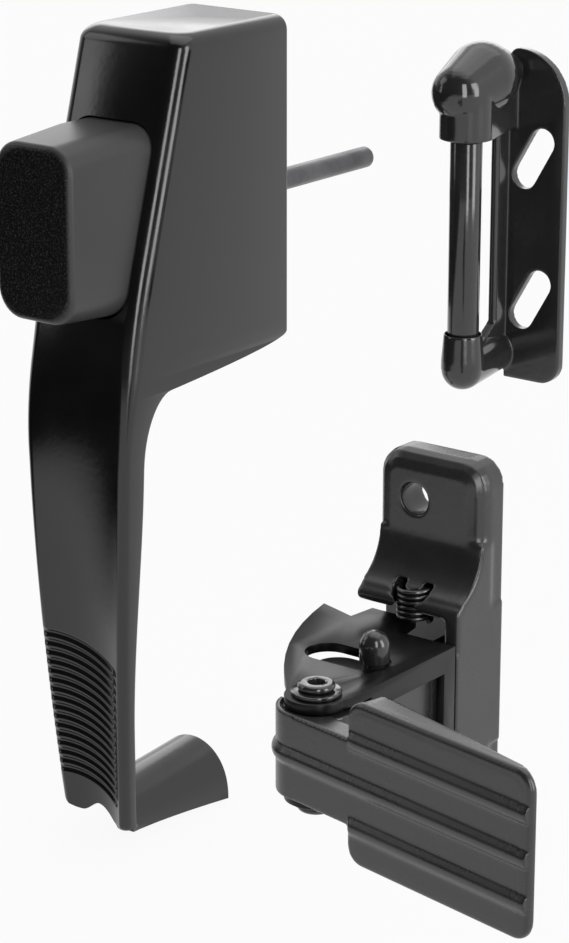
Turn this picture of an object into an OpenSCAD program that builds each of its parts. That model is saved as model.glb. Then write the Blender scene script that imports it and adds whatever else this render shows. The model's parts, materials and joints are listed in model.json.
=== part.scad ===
/* [Handle] */
// Width of the housing and of the strap's top
handle_w = 22.8; // [21:0.2:26]
// Height of the housing above the middle of the screws
housing_up = 27.5; // [26.5:0.5:32]
// Height of the housing below the middle of the screws, at the door
housing_down = 26.2; // [26:0.2:28]
// Depth of the housing at its top
depth_top = 27.5; // [25:0.5:34]
// Lean of the housing's front, in degrees
front_angle = 16.2; // [12:0.2:18]
// Height of the strap's lowest point below the middle of the screws
strap_down = 107; // [100:1:120]
// Thickness of the strap at its edges
strap_t = 3.2; // [3:0.1:4.5]
// How much thicker the strap is below the housing
strap_gain = 2.2; // [0.5:0.1:3]
// Depth of the strap's dished front
strap_dish = 1.7; // [0.4:0.1:1.9]
// How much each side of the strap narrows towards the foot
strap_taper = 3.8; // [1:0.2:4.2]
// How much each side of the strap is set in from the housing
strap_inset = 0.6; // [0.2:0.1:0.8]
// Wall of the housing
housing_wall = 2; // [1.6:0.1:2.2]
// Number of fine ribs on the strap
rib_count = 16; // [8:1:18]
// Pitch of the ribs
rib_pitch = 1.72; // [1.4:0.02:1.74]
// Depth of the grooves between the ribs
rib_depth = 0.5; // [0.2:0.05:0.7]
// Distance of the foot's end from the door plane
foot_gap = 12.8; // [8:0.2:16]
// Height of the arched foot where it leaves the strap
foot_h = 6; // [5.6:0.2:9]
// Wall of the foot
foot_wall = 1.8; // [1.4:0.1:2.2]
// How much each side of the foot widens to its end
foot_flare = 1; // [0.2:0.1:2]
// How much the foot's ridge rises to its end
foot_rise = 1.6; // [0.2:0.1:3]
// How much the foot's lower edge falls to its end
foot_fall = 2.3; // [0.8:0.1:3.2]

/* [Screws and rod] */
// Spacing of the two mounting screws
screw_spacing = 44.45; // [44:0.05:45]
// Radius of the tapped holes in the handle's bosses
boss_bore_r = 1.75; // [1.4:0.05:1.9]
// Wall of the screw bosses
boss_wall = 1.7; // [1.4:0.1:1.8]
// Radius of the clearance holes in the latch base
screw_hole_r = 2.1; // [1.8:0.05:2.4]
// Radius of the push rod
rod_r = 1.9; // [1.6:0.05:2.2]
// Reach of the push rod behind the door plane
rod_out = 38; // [30:0.5:48]
// Drop of the push rod below the middle of the screws
rod_drop = 3.8; // [0:0.2:5]

/* [Button] */
// Width of the button at the housing
button_w = 17.4; // [14:0.2:17.6]
// Height of the button at the housing
button_h = 30.2; // [24:0.2:31]
// Drop of the button's centre below the middle of the screws
button_drop = 1.7; // [0:0.1:2]
// Distance of the button's face from the door plane
button_face = 51.5; // [48:0.5:54]
// How much each side narrows towards the face
button_taper = 1; // [0.5:0.1:1.6]
// Corner radius of the button
button_corner = 4.4; // [3.5:0.1:5.5]
// Travel of the button
button_travel = 8; // [5:0.5:9]

/* [Latch] */
// Width of the latch base
base_w = 16.3; // [15:0.1:19]
// Height of the latch base
base_h = 56.6; // [54:0.2:64]
// Thickness of the screw tabs
tab_t = 5; // [4.5:0.1:6]
// Depth of the shelves from the door plane
shelf_depth = 10.2; // [9.8:0.1:10.6]
// Distance of the pivot in front of the door plane
pivot_out = 34.6; // [34:0.1:38]
// Height of the bolt channel over its outer faces
bolt_h = 13.4; // [13:0.1:14]
// Thickness of the bolt's sheet
bolt_t = 1.2; // [1:0.05:1.3]
// Radius of the hollow rivet's shank
rivet_r = 1.7; // [1.5:0.05:1.8]
// Length of the lever's pad
pad_l = 29.8; // [26:0.2:44]
// Height of the lever's pad
pad_h = 20.6; // [19:0.2:26]
// Angle of the lever to the door plane, in degrees
lever_angle = 11; // [8:0.5:20]
// Swing of the lever and bolt, in degrees
lever_swing = 10; // [6:0.5:10]
// Travel of the lock pin
lock_travel = 4; // [2:0.2:4]
// Radius of the lock pin's head
lock_r = 1.9; // [1.6:0.05:2.2]

/* [Strike] */
// Width of the strike's leaf
leaf_w = 10.4; // [9.5:0.1:14]
// Height of the strike's leaf
leaf_h = 53.4; // [52:0.2:58]
// Thickness of the strike's sheet
leaf_t = 1.6; // [1.4:0.1:2]
// Distance of the roller's axis from the jamb
roller_out = 14.2; // [13.6:0.1:16.4]
// Outer radius of the roller
roller_r = 2.5; // [2.3:0.05:2.6]
// Radius of the roller's axle
axle_r = 1.5; // [1.2:0.05:1.6]
// Spacing of the two slots
slot_spacing = 22.8; // [20:0.1:24]
// Overall length of a slot
slot_l = 10.8; // [9:0.2:11.6]
// Half width of a slot
slot_r = 2.2; // [1.8:0.05:2.3]

/* [Layout] */
// Place of the latch base's centre, to the right of the handle
latch_x = 106.2; // [90:0.2:140]
// Place of the latch base's back, in front of the handle's back
latch_y = -92.7; // [-120:0.1:-60]
// Place of the latch base's centre, above the middle of the screws
latch_z = -34.8; // [-60:0.2:-20]
// Place of the strike's centre, to the right of the handle
strike_x = 61.4; // [55:0.2:80]
// Place of the strike's centre, above the middle of the screws
strike_z = -1.6; // [-20:0.1:20]

/* [Fits] */
// Radial play of turning and sliding round fits
running_fit = 0.05; // [0.02:0.01:0.1]
// Play between moving pieces that don't guide each other
play = 0.35; // [0.25:0.05:0.4]

/* [Hidden] */
$fn = 48;
paint = "#1b1b1c";
steel = "#3a3a3c";
bright = "#6a6a6e";
eps = 0.01;

// Handle: the front leans out to the bend, bows to its apex and returns to the foot
bend_z = -8;
bow_len = 34;
apex_z = bend_z - bow_len;
strap_return = 3.3;
taper_z = -40;
strap_end = -strap_down;
housing_crown = 0.4;
top_round = 2.4;
front_round = 2.5;
strap_round = 1.4;
back_round = 0.7;
under_drop = 3.6;
under_run = 30.5;
strap_top = -42;
rib_start = -72.4;
boss_len = 20;
boss_recess = 0.4;
boss_r = boss_bore_r + boss_wall;
half_spacing = screw_spacing / 2;
cavity_half = handle_w / 2 - housing_wall;
front_wall = 2.4;

function lean() = tan(front_angle);
function bend_y() = -(depth_top + (housing_up - bend_z) * lean());
function apex_y() = bend_y() - lean() * bow_len / 2;
function bow_y(t) = bend_y() - lean() * t + lean() / (2 * bow_len) * t * t;
function return_y(z) = apex_y() + strap_return * pow((apex_z - z) / (apex_z - strap_end), 2);
function front_y(z) =
  z >= bend_z ? -(depth_top + (housing_up - z) * lean())
  : z >= apex_z ? bow_y(bend_z - z)
  : return_y(z);
function ease(t) = t <= 0 ? 0 : t >= 1 ? 1 : t * t * (3 - 2 * t);
function taper_at(z) = z >= taper_z ? 0 : pow((taper_z - z) / (taper_z - strap_end), 1.3);
function half_w(z) = handle_w / 2 - strap_inset * ease((-26 - z) / 18) - strap_taper * taper_at(z);
dish_fade = 0.6;
function dish_at(z) = ease((-20 - z) / 45) * min(1, (z - strap_end) / dish_fade - 0.1);
function crown_at(z) = housing_crown - (strap_dish + housing_crown) * dish_at(z);
function back_y(z) = front_y(z) + strap_t + strap_gain * ease((z - taper_z + 48) / 46);
function round_at(z) = front_round + (strap_round - front_round) * ease((-20 - z) / 20);

// A closed skin through rings of points, listed from the top ring to the bottom ring
function side_faces(i, j, n) = [
  [i * n + j, i * n + (j + 1) % n, (i + 1) * n + (j + 1) % n],
  [i * n + j, (i + 1) * n + (j + 1) % n, (i + 1) * n + j]
];
function loft_faces(m, n) = concat(
  [[for (j = [n - 1 : -1 : 0]) j]],
  [for (i = [0 : m - 2], j = [0 : n - 1]) each side_faces(i, j, n)],
  [[for (j = [0 : n - 1]) (m - 1) * n + j]]
);
module loft(rings) {
  n = len(rings[0]);
  polyhedron(points = [for (r = rings) each r], faces = loft_faces(len(rings), n));
}

// One level section of the handle, from its left front corner round to its back
function corner(cx, cy, r, from, to, steps) =
  [for (k = [0 : steps]) let (a = from + (to - from) * k / steps) [cx + r * cos(a), cy + r * sin(a)]];
function front_row(hw, yf, crown, groove) =
  [for (k = [-4 : 4]) let (f = k / 5) [hw * f, yf - crown * (1 - f * f) + groove]];
function section(hw, yf, yb, rf, crown, groove) = concat(
  corner(-hw + rf, yf + rf, rf, 180, 270, 3),
  front_row(hw - rf, yf, crown, groove),
  corner(hw - rf, yf + rf, rf, 270, 360, 3),
  corner(hw - back_round, yb - back_round, back_round, 0, 90, 2),
  corner(-hw + back_round, yb - back_round, back_round, 90, 180, 2)
);
function level(z, points) = [for (p = points) [p[0], p[1], z]];
function handle_ring(z, yb, inset, side_inset, groove) = level(
  z,
  section(half_w(z) - side_inset, front_y(z) + inset, yb, round_at(z), crown_at(z), groove)
);
function top_rings() = [for (a = [90, 60, 30, 0]) let (inset = top_round * (1 - cos(a)))
  handle_ring(housing_up - top_round + top_round * sin(a), 0, inset, inset, 0)];
function wall_rings() = [for (z = [12, bend_z, -15, -21, -housing_down]) handle_ring(z, 0, 0, 0, 0)];
function under_rings() = [for (f = [0.1, 0.22, 0.6, 1])
  handle_ring(-housing_down - under_drop * sqrt(f), -under_run * f, 0, 0, 0)];
function web_rings() = let (
    y0 = -under_run,
    z0 = -housing_down - under_drop,
    dy = back_y(strap_top) - y0,
    dz = strap_top - z0
  ) [for (b = [22, 44, 66, 90]) handle_ring(z0 + dz * (1 - cos(b)), y0 + dy * sin(b), 0, 0, 0)];
function strap_ring(z, inset, groove) =
  handle_ring(z, back_y(z), inset, 0, groove);
function plain_rings() = [for (z = [-50, -58, -66]) strap_ring(z, 0, 0)];
function rib_rings() = [for (k = [0 : 2 * rib_count])
  strap_ring(rib_start - k * rib_pitch / 2, 0, k % 2 == 0 ? 0 : rib_depth)];
function end_rings() = [for (a = [0, 35, 70])
  strap_ring(strap_end + 1.2 - 1.2 * sin(a), 1.2 * (1 - cos(a)), 0)];

module handle_skin() {
  loft(concat(
    top_rings(), wall_rings(), under_rings(), web_rings(), plain_rings(), rib_rings(), end_rings()
  ));
}

// Arched foot, open below and at its end, growing towards the door
foot_half = handle_w / 2 - strap_inset - strap_taper - 0.1;
foot_ridge = strap_end + foot_h;
foot_step = -0.3;
function arch(half, ridge, floor) = [for (k = [0 : 14])
  let (a = 180 * k / 14) [half * cos(a), floor + (ridge - floor) * pow(abs(sin(a)), 0.86)]];
function foot_floor(f) = strap_end + foot_step - (foot_fall + foot_step) * f;
function foot_arch(f, wall) = arch(
  foot_half + foot_flare * f - wall, foot_ridge + foot_rise * f - wall, foot_floor(f)
);
function foot_skin(out, f) = level(out, foot_arch(f, 0));
function foot_hollow(out, f) = let (
    half = foot_half + foot_flare * f - foot_wall,
    under = foot_floor(f) - 3
  ) level(out, concat(foot_arch(f, foot_wall), [[-half, under], [half, under]]));
module foot() {
  start = back_y(foot_ridge) - 0.6;
  run = -foot_gap - start;
  steps = [0, 0.3, 0.6, 0.85, 1];
  rotate([90, 0, 0]) difference() {
    loft([for (f = steps) foot_skin(-start - run * f, pow(f, 1.4))]);
    loft([for (f = steps) foot_hollow(-start - run * f - 2 * f, pow(f, 1.4))]);
  }
}
module foot_arch_cut() {
  arch_rise = 2.4;
  arch_half = foot_half - foot_wall - 0.6;
  arch_r = (arch_half * arch_half + arch_rise * arch_rise) / (2 * arch_rise);
  translate([0, back_y(strap_end) + 1, strap_end + arch_rise - arch_r]) rotate([90, 0, 0])
    cylinder(r = arch_r, h = 20);
}

// A rectangle with true round corners
module soft_rect(w, h, r) {
  square([w - 2 * r, h], center = true);
  square([w, h - 2 * r], center = true);
  for (sx = [-1, 1], sz = [-1, 1]) translate([sx * (w / 2 - r), sz * (h / 2 - r)]) circle(r);
}
module front_prism(y_near, y_far) {
  translate([0, y_far, 0]) rotate([90, 0, 0]) linear_extrude(y_far - y_near) children();
}

module housing_cavity() {
  top = housing_up - housing_wall;
  low = -housing_down + housing_wall;
  rotate([90, 0, 90]) translate([0, 0, -cavity_half]) linear_extrude(2 * cavity_half) polygon([
    [1, low],
    [1, top],
    [front_y(top) + front_wall, top],
    [bend_y() + front_wall, bend_z],
    [front_y(low) + front_wall, low]
  ]);
}
module screw_bosses() {
  for (s = [-1, 1]) translate([0, -boss_recess, s * half_spacing]) rotate([90, 0, 0])
    cylinder(r = boss_r, h = boss_len - boss_recess);
}
module screw_bores() {
  for (s = [-1, 1]) translate([0, 1, s * half_spacing]) rotate([90, 0, 0])
    cylinder(r = boss_bore_r, h = boss_len - 1);
}

module handle_casting() color(paint) difference() {
  union() {
    difference() {
      union() {
        handle_skin();
        foot();
      }
      housing_cavity();
      translate([0, 0, -button_drop])
        front_prism(-button_face, -boss_len) soft_rect(button_w + 2 * play, button_h + 2 * play, button_corner + play);
      foot_arch_cut();
    }
    screw_bosses();
  }
  screw_bores();
}

// Button: rounded face edge, tapered flanks, straight skirt inside the housing
button_edge = 1.6;
button_skirt = 24;
button_seat = 34;
button_flank = 38;
button_wall = 1.8;
rod_boss_r = rod_r + 1.6;
rod_depth = 42;
spring_wire = 0.9;
spring_gap = 0.5;
function ring_rect(w, h, r, z) = level(z, concat(
  corner(w / 2 - r, h / 2 - r, r, 0, 90, 5),
  corner(-w / 2 + r, h / 2 - r, r, 90, 180, 5),
  corner(-w / 2 + r, -h / 2 + r, r, 180, 270, 5),
  corner(w / 2 - r, -h / 2 + r, r, 270, 360, 5)
));
function button_ring(out, inset) = ring_rect(
  button_w - 2 * inset, button_h - 2 * inset, max(button_corner - inset, 0.8), out
);
function button_face_rings() = [for (a = [90, 60, 30, 0])
  button_ring(button_face - button_edge * (1 - sin(a)), button_taper + button_edge * (1 - cos(a)))];

rod_rise = button_drop - rod_drop;
module push_button() color(paint) translate([0, 0, -button_drop]) difference() {
  union() {
    difference() {
      rotate([90, 0, 0]) loft(concat(
        button_face_rings(), [button_ring(button_flank, 0), button_ring(button_skirt, 0)]
      ));
      front_prism(-button_seat, -button_skirt + 1)
        soft_rect(button_w - 2 * button_wall, button_h - 2 * button_wall, button_corner - button_wall);
    }
    translate([0, -button_skirt, rod_rise]) rotate([90, 0, 0])
      cylinder(r = rod_boss_r, h = button_seat - button_skirt + 1);
  }
  translate([0, -button_skirt + 1, rod_rise]) rotate([90, 0, 0])
    cylinder(r = rod_r, h = rod_depth - button_skirt + 1);
}

module push_rod() color(bright) translate([0, -rod_depth, -rod_drop]) rotate([-90, 0, 0]) rotate_extrude() polygon([
  [0, 0],
  [rod_r, 0],
  [rod_r, rod_depth + rod_out - 0.8],
  [rod_r - 0.8, rod_depth + rod_out],
  [0, rod_depth + rod_out]
]);

// A round wire swept along a helix that stands on the level plane
function helix_point(r, pitch, a) = [r * cos(a), r * sin(a), pitch * a / 360];
function wire_ring(r, pitch, wire, a, sides) = [for (k = [0 : sides - 1])
  let (b = 360 * k / sides, q = r + wire / 2 * cos(b))
  helix_point(q, pitch, a) + [0, 0, wire / 2 * sin(b)]];
module coil(r, pitch, turns, wire) {
  steps = 14;
  loft([for (k = [0 : round(turns * steps)]) wire_ring(r, pitch, wire, 360 * k / steps, 8)]);
}

plate_t = 1.4;
plate_y = -3.6;
spring_r = rod_boss_r + play + spring_wire / 2;
spring_turns = 7;
spring_len = button_seat + plate_y - 2 * spring_gap - spring_wire;
module button_spring() color(bright)
  translate([0, -button_seat + spring_gap + spring_wire / 2, -rod_drop])
    rotate([-90, 0, 0]) coil(spring_r, spring_len / spring_turns, spring_turns, spring_wire);

plate_fit = 0.1;
module guide_plate() color(steel) difference() {
  translate([0, 0, (housing_up - housing_down) / 2]) front_prism(plate_y, plate_y + plate_t)
    square([2 * (cavity_half - plate_fit), housing_up + housing_down - 2 * housing_wall - 2 * plate_fit], center = true);
  for (s = [-1, 1]) translate([0, 0, s * half_spacing]) rotate([90, 0, 0])
    cylinder(r = boss_r + plate_fit, h = 20, center = true);
  translate([0, 0, -rod_drop]) rotate([90, 0, 0]) cylinder(r = rod_r + running_fit, h = 20, center = true);
}

clip_t = 0.8;
clip_wall = 1.7;
module rod_clip() color(bright) translate([0, plate_y + plate_t + clip_t + 0.05, -rod_drop]) rotate([90, 0, 0])
  linear_extrude(clip_t) difference() {
    circle(rod_r + clip_wall);
    circle(rod_r);
    translate([0, -rod_r - clip_wall]) square([1.4 * rod_r, 2 * (rod_r + clip_wall)], center = true);
  }

// Latch: its own origin is on the door plane, midway between the two screws
base_left = -6;
base_right = base_left + base_w;
base_round = 2.2;
base_corner = 3.4;
base_floor = 2.6;
block_proud = 0.25;
block_left = base_left + 0.7;
block_w = base_right + block_proud - block_left;
block_wall = 2.2;
bolt_half = bolt_h / 2;
bolt_gap = 2.3;
shelf_in = bolt_half + bolt_gap;
shelf_t = 1.9;
scoop_top = 18;
arm_half = 1.7;
pivot_x = 6.8;
eye_r = 3.9;
eye_half = 2;
rod_hole_r = 3.2;
bolt_right = pivot_x + 4.2;
lock_x = 6.5;
lock_y = -22.3;
lock_neck = 1.5;
slide_t = 0.75;
slide_half = 3.1;
panel_gap = 0.6;
arm_top = bolt_half - bolt_t - play;
groove_floor = arm_top - slide_t - 0.1;
post_x = 2.2;
post_y = -7.6;
post_r = 1.3;
post_top = 12.4;
coil_wire = 0.8;
coil_r = post_r + 0.3 + coil_wire / 2;
pocket_r = coil_r + coil_wire / 2 + 0.4;

module at_latch() translate([latch_x, latch_y, latch_z]) children();
module at_pivot() at_latch() translate([pivot_x, -pivot_out, 0]) children();

module base_skin() {
  rings = concat(
    [for (a = [90, 60, 30, 0]) ring_rect(
      base_w - 2 * base_round * (1 - cos(a)),
      base_h - 2 * base_round * (1 - cos(a)),
      base_corner - base_round * (1 - cos(a)),
      tab_t - base_round * (1 - sin(a))
    )],
    [ring_rect(base_w, base_h, base_corner, 0)]
  );
  translate([(base_left + base_right) / 2, 0, 0]) rotate([90, 0, 0]) loft(rings);
}
module side_block(y_near, y_far, z_low, z_high) {
  translate([block_left, y_near, z_low]) cube([block_w, y_far - y_near, z_high - z_low]);
}
module shelf() {
  lip = shelf_depth - shelf_t / 2;
  rise = scoop_top - shelf_in - shelf_t;
  reach = shelf_depth - tab_t;
  scoop_r = (rise * rise + reach * reach) / (2 * reach);
  difference() {
    side_block(-lip, -base_floor, shelf_in, scoop_top);
    translate([base_left - 1, -tab_t - scoop_r, scoop_top]) rotate([0, 90, 0])
      cylinder(r = scoop_r, h = base_w + 2, $fn = 64);
  }
  translate([block_left, -lip, shelf_in + shelf_t / 2]) rotate([0, 90, 0]) cylinder(r = shelf_t / 2, h = block_w);
}
module base_block() {
  for (s = [0, 1]) mirror([0, 0, s]) shelf();
  translate([base_right + block_proud - block_wall, -shelf_depth, -shelf_in - 0.5])
    cube([block_wall, shelf_depth - eps, 2 * shelf_in + 1]);
}
module base_hollow() {
  translate([base_left - 1, -20, -shelf_in])
    cube([base_w + 1 + block_proud - block_wall, 20 - base_floor, 2 * shelf_in]);
}
module pivot_arm() {
  neck = pivot_out - hub_r - play;
  difference() {
    translate([pivot_x - arm_half, -neck, -arm_top])
      cube([2 * arm_half, neck - base_floor + 0.5, 2 * arm_top]);
    translate([pivot_x - 3, lock_y - slide_half - 0.2, groove_floor])
      cube([6, 2 * slide_half + 0.4, 5]);
  }
  translate([pivot_x + arm_half - 0.5, window_front + panel_gap, -window_half + panel_gap])
    cube([
      bolt_right - bolt_t - play - pivot_x - arm_half + 0.5,
      window_back - window_front - 2 * panel_gap,
      2 * (window_half - panel_gap)
    ]);
  translate([pivot_x - arm_half, -pivot_out, -eye_half]) cube([2 * arm_half, eye_r + 2, 2 * eye_half]);
  translate([pivot_x, -pivot_out, -eye_half]) cylinder(r = eye_r, h = 2 * eye_half);
}
module spring_pocket() {
  difference() {
    translate([post_x, post_y, shelf_in - 1]) cylinder(r = pocket_r, h = post_top - shelf_in + 1);
    translate([post_x, post_y, shelf_in - 2]) cylinder(r = post_r, h = post_top - shelf_in + 3);
  }
}
module spring_post() {
  translate([post_x, post_y, shelf_in]) cylinder(r = post_r, h = post_top - shelf_in + 0.5);
}
module latch_base() color(paint) at_latch() difference() {
  union() {
    difference() {
      union() {
        base_skin();
        base_block();
      }
      base_hollow();
      spring_pocket();
    }
    pivot_arm();
  }
  for (s = [-1, 1]) translate([0, 1, s * half_spacing]) rotate([90, 0, 0]) cylinder(r = screw_hole_r, h = tab_t + 2);
  translate([0, 1, -rod_drop]) rotate([90, 0, 0]) cylinder(r = rod_hole_r, h = tab_t + 2);
  translate([pivot_x, -pivot_out, -10]) cylinder(r = rivet_r, h = 20);
}

// Bolt: a channel of two cheeks and a web, with a ramp, a V notch and the lock slot
ear_r = 3.9;
tip = [-11.5, -8.6];
notch = [-5.9, -10.3];
rear = -6.2;
web_back = -11.3;
web_front = -29;
window_half = 3.7;
window_back = -13.6;
window_front = -26.6;
slot_half = 3;
slot_left = -3.5;
slot_right = lock_x + lock_neck + 0.4;
ramp_bulge = 2.2;
function ramp(a, b, bulge, steps) = let (
    d = b - a,
    side = [-d[1], d[0]] / norm(d)
  ) [for (k = [0 : steps]) let (f = k / steps) a + d * f + side * bulge * 4 * f * (1 - f)];
module cheek_2d() {
  ear_left = [pivot_x - ear_r, -pivot_out - 0.6];
  difference() {
    union() {
      translate([pivot_x, -pivot_out]) circle(ear_r);
      polygon(concat(
        ramp(ear_left, tip, ramp_bulge, 8),
        [
          notch,
          [notch[0] + 0.4, rear],
          [1.4, rear],
          [2.3, web_back],
          [bolt_right, web_back],
          [bolt_right, -pivot_out + 1.5],
          [pivot_x + ear_r * 0.8, -pivot_out - ear_r * 0.6]
        ]
      ));
    }
    translate([pivot_x, -pivot_out]) circle(rivet_r + running_fit);
  }
}
module lock_slot_2d() {
  for (x = [slot_left + slot_half, slot_right - slot_half]) translate([x, lock_y]) circle(slot_half);
  translate([slot_left + slot_half, lock_y - slot_half])
    square([slot_right - slot_left - 2 * slot_half, 2 * slot_half]);
}
module latch_bolt() color(steel) at_latch() {
  translate([0, 0, bolt_half - bolt_t]) linear_extrude(bolt_t) difference() {
    cheek_2d();
    lock_slot_2d();
  }
  translate([0, 0, -bolt_half]) linear_extrude(bolt_t) cheek_2d();
  difference() {
    translate([bolt_right - bolt_t, web_front, -bolt_half + eps])
      cube([bolt_t, web_back - web_front, bolt_h - 2 * eps]);
    translate([bolt_right - 5, window_front, -window_half])
      cube([10, window_back - window_front, 2 * window_half]);
  }
}

// Lever: its own frame has the pad along X and the pivot at the origin
hub_r = 4.9;
hub_half = 5.5;
hub_front = 3.4;
knuckle_half = bolt_half - bolt_t - play;
pad_t = 4.2;
pad_tip_t = 2;
pad_start = 10.6;
pad_rise = 0.2;
pad_corner = 2.8;
pad_round = 1.2;
bead_r = 1.5;
bead_h = 0.5;
bead_pitch = hub_half - 0.1;
pad_y = -hub_r;
function pad_ring(inset, out) = ring_rect(pad_l - 2 * inset, pad_h - 2 * inset, pad_corner - inset, out);
function wedge_ring(gain) = [for (q = pad_ring(0, 0)) q + [0, 0, gain * (q[0] / pad_l + 0.5)]];
module pad() {
  rings = concat(
    [for (a = [90, 60, 30, 0]) pad_ring(pad_round * (1 - cos(a)), pad_t - pad_round * (1 - sin(a)))],
    [wedge_ring(pad_t - pad_tip_t)]
  );
  translate([pad_start + pad_l / 2, pad_y + pad_t, pad_rise]) rotate([90, 0, 0]) loft(rings);
}
module bead(from, z) {
  to = pad_start + pad_l - pad_round / 2;
  translate([from, pad_y + bead_r - bead_h, z]) rotate([0, 90, 0]) cylinder(r = bead_r, h = to - from);
}
module hub() {
  translate([0, 0, -hub_half]) cylinder(r = hub_r, h = 2 * hub_half);
  translate([0, -hub_r, -hub_half]) cube([pad_start + 3, hub_front, 2 * hub_half]);
  rotate([0, 0, 180]) rotate_extrude(angle = 90) translate([hub_r + bead_h - bead_r, 0]) circle(bead_r);
}
module hub_hollow() {
  for (s = [-1, 1]) translate([0, 0, s * (knuckle_half + 5)]) {
    cylinder(r = ear_r + play, h = 10, center = true);
    translate([0, 5 + hub_front - hub_r, 0]) cube([2 * hub_r + 2, 10, 10], center = true);
  }
  cylinder(r = eye_r + play, h = 2 * (eye_half + play), center = true);
  translate([0, 5 + hub_front - hub_r, 0]) cube([2 * hub_r + 2, 10, 2 * (eye_half + play)], center = true);
}
module lever() color(paint) at_pivot() rotate([0, 0, -lever_angle]) difference() {
  union() {
    hub();
    pad();
    bead(pad_start + pad_round / 2, bead_pitch);
    bead(0, 0);
    bead(pad_start + pad_round / 2, -bead_pitch);
  }
  hub_hollow();
  cylinder(r = rivet_r + running_fit, h = 40, center = true);
}

washer_t = 0.5;
washer_r = 3.1;
washer_gap = 0.05;
rivet_head = bolt_half + washer_t + 2 * washer_gap;
rivet_head_r = 2.3;
rivet_head_t = 0.95;
rivet_bore_r = 1.05;
module pivot_rivet() color(steel) at_pivot() rotate_extrude() difference() {
  union() {
    translate([0, -rivet_head]) square([rivet_r, 2 * rivet_head]);
    for (s = [-1, 1]) translate([0, s * (rivet_head + rivet_head_t / 2) - rivet_head_t / 2]) {
      square([rivet_head_r - rivet_head_t / 2, rivet_head_t]);
      translate([rivet_head_r - rivet_head_t / 2, rivet_head_t / 2]) circle(rivet_head_t / 2);
    }
  }
  translate([-1, -20]) square([1 + rivet_bore_r, 40]);
}
module pivot_washers() color(steel) at_pivot() for (s = [-1, 1])
  translate([0, 0, s * (bolt_half + washer_gap + washer_t / 2)]) difference() {
    cylinder(r = washer_r, h = washer_t, center = true);
    cylinder(r = rivet_r + running_fit, h = 2, center = true);
  }

// Lock: a domed pin on a small slide that runs across the arm
pin_h = 4;
module lock_pin() color(steel) at_latch() translate([lock_x, lock_y, 0]) rotate_extrude() {
  translate([0, groove_floor + slide_t + 0.05]) square([lock_neck, bolt_half - groove_floor]);
  translate([0, bolt_half + play]) square([lock_r, pin_h - lock_r]);
  intersection() {
    translate([0, bolt_half + play + pin_h - lock_r]) circle(lock_r);
    translate([0, bolt_half]) square([10, 20]);
  }
}
slide_left = slot_left + 1.4;
slide_right = lock_x + lock_neck + 0.5;
module lock_slide() color(steel) at_latch() translate([0, lock_y, groove_floor + 0.05]) linear_extrude(slide_t) {
  translate([slide_left + slide_half, -slide_half])
    square([slide_right - slide_left - slide_half, 2 * slide_half]);
  translate([slide_left + slide_half, 0]) circle(slide_half);
}

module bolt_spring() color(bright) at_latch() translate([post_x, post_y, bolt_half + play + coil_wire / 2])
  coil(coil_r, 1.15, 3.6, coil_wire);

// Strike: its own origin is on the jamb plane, midway between the two slots
leaf_rise = 1.9;
leaf_top_corner = 7;
leaf_low_corner = 3.6;
leaf_top = leaf_h / 2 + leaf_rise;
leaf_low = leaf_top - leaf_h;
leaf_left = -leaf_w / 2;
leaf_right = leaf_w / 2;
slot_angle = 60;
slot_x = -0.5;
roller_x = leaf_left + 0.6;
bulb_x = leaf_left;
bulb_out = roller_out + 0.8;
bulb_r = 4.9;
bulb_z = leaf_top - 5.2;
crown_r = 5.8;
crown_out = bulb_out - 5.6;
crown_z = leaf_top - 3.6;
root_r = 5.2;
collar_r = 3.5;
collar_z = 16.2;
cup_r = 3.4;
cup_top = -14.9;
cup_z = leaf_low + 4.2;
cup_depth = 2.4;
low_root_r = 3.3;
flange_t = 1.5;
flange_out = 4.8;
roller_top = collar_z - 0.3;
roller_low = cup_top - cup_depth + 0.3;
roller_wall = roller_r - axle_r - running_fit;
module at_strike() translate([strike_x, 0, strike_z]) children();
module at_roller() at_strike() translate([roller_x, -roller_out, 0]) children();

module slot_cut(z) {
  run = slot_l / 2 - slot_r;
  translate([slot_x, 1, z]) rotate([90, 0, 0]) linear_extrude(leaf_t + 2) rotate(slot_angle) {
    square([2 * run, 2 * slot_r], center = true);
    for (s = [-1, 1]) translate([s * run, 0]) circle(slot_r);
  }
}
module leaf_2d() {
  translate([leaf_left, leaf_low + leaf_low_corner])
    square([leaf_w, leaf_h - leaf_low_corner - leaf_top_corner]);
  translate([leaf_left, leaf_low]) square([leaf_w - leaf_top_corner, leaf_h]);
  translate([leaf_left, leaf_low]) square([leaf_w - leaf_low_corner, leaf_low_corner + 1]);
  translate([leaf_right - leaf_top_corner, leaf_top - leaf_top_corner]) circle(leaf_top_corner);
  translate([leaf_right - leaf_low_corner, leaf_low + leaf_low_corner]) circle(leaf_low_corner);
}
module flange() {
  tall = bulb_z - cup_z;
  translate([leaf_left - flange_t + 0.2, -flange_out + flange_t / 2, cup_z])
    cube([flange_t, flange_out - flange_t / 2, tall]);
  translate([leaf_left - flange_t / 2 + 0.2, -flange_out + flange_t / 2, cup_z]) cylinder(r = flange_t / 2, h = tall);
}
module leaf() {
  difference() {
    front_prism(-leaf_t, 0) leaf_2d();
    for (s = [-1, 1]) slot_cut(s * slot_spacing / 2);
  }
  flange();
}
module root_disc(z, r) {
  translate([leaf_left - flange_t / 2 - r + 2.4, -leaf_t + 0.2, z]) rotate([90, 0, 0]) cylinder(r = r, h = 0.4, $fn = 32);
}
module top_bulb() {
  hull() {
    translate([bulb_x, -bulb_out, bulb_z]) sphere(r = bulb_r, $fn = 32);
    translate([bulb_x, -crown_out, crown_z]) sphere(r = crown_r, $fn = 32);
    root_disc(bulb_z, root_r);
  }
}
module low_bulb() {
  hull() {
    translate([roller_x, -roller_out, cup_z]) sphere(r = cup_r, $fn = 32);
    root_disc(cup_z, low_root_r);
  }
}
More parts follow.
